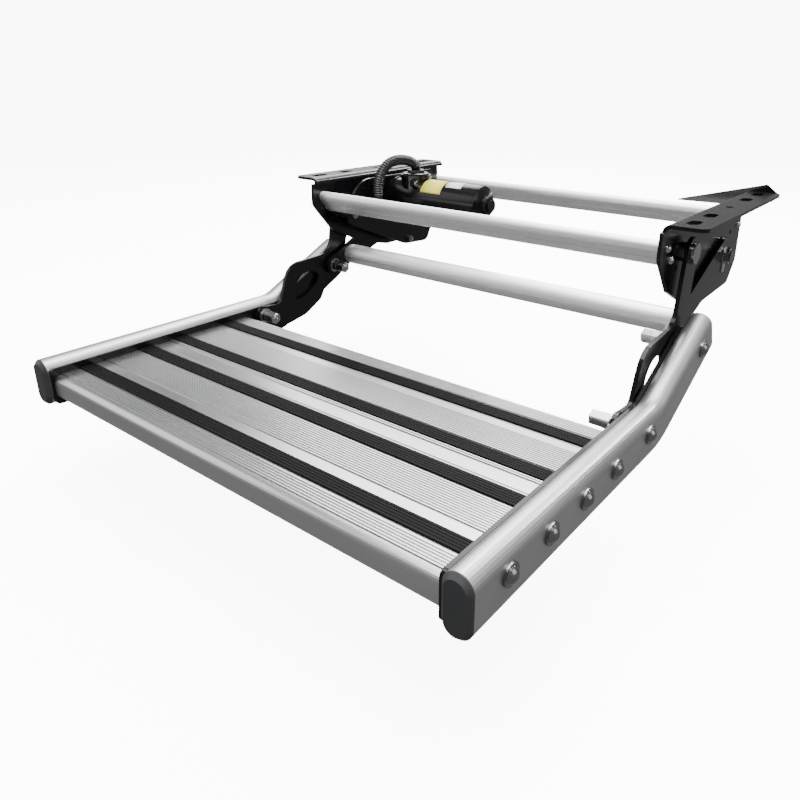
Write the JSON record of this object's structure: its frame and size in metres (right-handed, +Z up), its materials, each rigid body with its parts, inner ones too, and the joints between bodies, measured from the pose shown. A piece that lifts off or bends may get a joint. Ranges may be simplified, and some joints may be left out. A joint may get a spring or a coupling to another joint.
{
  "type": "caravan fold-out step",
  "caption": "Electric fold-out step: ribbed aluminium tread between cranked side rails, carried by steel links under two slotted mounting flanges, with a motor that folds it away.",
  "frame": {"origin": "midway between the middle holes of the two flanges, on the flanges' top faces", "axes": "+X to the right as seen by a person facing the vehicle, +Y towards the vehicle, +Z up out of the flanges"},
  "size_m": [0.632, 0.7203, 0.2503],
  "materials": {
    "powder_black": "gloss black powder coat on steel sheet",
    "satin_aluminium": "satin silver anodised extrusion",
    "zinc_steel": "bright zinc plate",
    "dark_steel": "dark oiled steel",
    "sintered_bronze": "dull bearing bronze",
    "lock_nylon": "dark nylon",
    "grip_rubber": "matt black rubber",
    "cap_plastic": "dark grey moulded plastic",
    "end_plastic": "grey moulded plastic",
    "motor_black": "satin black paint",
    "conduit_plastic": "black ribbed nylon",
    "plug_plastic": "off-white moulded plastic"
  },
  "bodies": {
    "frame": {"bracket_left": "powder_black", "bracket_right": "powder_black", "front_crossbar": "satin_aluminium", "rear_crossbar": "satin_aluminium", "crossbar_screws": "zinc_steel", "rear_gusset": "powder_black", "gusset_screws": "zinc_steel", "motor_mount_plate": "powder_black", "mount_spacers": "dark_steel", "mount_bolts": "zinc_steel", "gearbox_housing": "motor_black", "gearbox_cover": "motor_black", "conduit_gland": "conduit_plastic", "wiring_conduit": "conduit_plastic", "wiring_plug": "plug_plastic", "motor_can": "motor_black", "motor_end_cap": "motor_black", "motor_screws": "zinc_steel", "front_pivot_pins": "dark_steel", "front_pivot_spacers": "dark_steel", "front_pivot_nuts": "zinc_steel", "rear_pivot_bushes": "sintered_bronze"},
    "front_links": {"front_link_left": "powder_black", "front_link_right": "powder_black"},
    "tread": {"plank_front": "satin_aluminium", "plank_rear": "satin_aluminium", "grip_strip_1": "grip_rubber", "grip_strip_2": "grip_rubber", "grip_strip_3": "grip_rubber", "grip_strip_4": "grip_rubber", "side_rail_left": "satin_aluminium", "side_rail_right": "satin_aluminium", "side_plate_left": "powder_black", "side_plate_right": "powder_black", "front_cap_left": "cap_plastic", "front_cap_right": "cap_plastic", "rail_end_cap_left": "end_plastic", "rail_end_cap_right": "end_plastic", "tread_bolts": "zinc_steel", "plank_screws": "zinc_steel", "tread_pivot_bolts": "zinc_steel", "tread_pivot_nuts": "zinc_steel", "lock_bolts": "zinc_steel", "lock_bushes": "lock_nylon"},
    "rear_links": {"rear_link_left": "powder_black", "rear_link_right": "powder_black", "cross_tube": "satin_aluminium", "tube_plugs": "lock_nylon", "tube_screws": "zinc_steel", "rear_shaft_left": "dark_steel", "rear_shaft_right": "dark_steel", "rear_shaft_nuts": "zinc_steel", "drive_lever": "dark_steel", "lever_pin": "dark_steel", "lock_studs": "zinc_steel", "lock_nuts": "zinc_steel"},
    "crank": {"output_shaft": "dark_steel", "crank_arm": "dark_steel", "crank_pin": "dark_steel"},
    "drive_rod": {"drive_rod": "dark_steel"}
  },
  "joints": [
    {"name": "fold", "type": "hinge", "parent": "frame", "child": "front_links", "pos_m": [0, -0.092, -0.0395], "axis": [1, 0, 0], "range_deg": [0, 92]},
    {"name": "tread_fold", "type": "hinge", "parent": "front_links", "child": "tread", "pos_m": [0, -0.2565, -0.186], "axis": [1, 0, 0], "range_deg": [-109, 0]},
    {"name": "rear_fold", "type": "hinge", "parent": "frame", "child": "rear_links", "pos_m": [0, 0.059, -0.0715], "axis": [1, 0, 0], "range_deg": [0, 121]},
    {"name": "crank_turn", "type": "hinge", "parent": "frame", "child": "crank", "pos_m": [0, -0.003, -0.0365], "axis": [1, 0, 0], "range_deg": [0, 121]},
    {"name": "rod_turn", "type": "hinge", "parent": "crank", "child": "drive_rod", "pos_m": [0, -0.02898, -0.03539], "axis": [1, 0, 0], "range_deg": [-121, 0]}
  ],
  "couplings": [
    {"joint": "tread_fold", "follows": "fold", "ratio": -1.1817},
    {"joint": "rear_fold", "follows": "fold", "ratio": 1.3079},
    {"joint": "crank_turn", "follows": "fold", "ratio": 1.3079},
    {"joint": "rod_turn", "follows": "fold", "ratio": -1.3079}
  ]
}
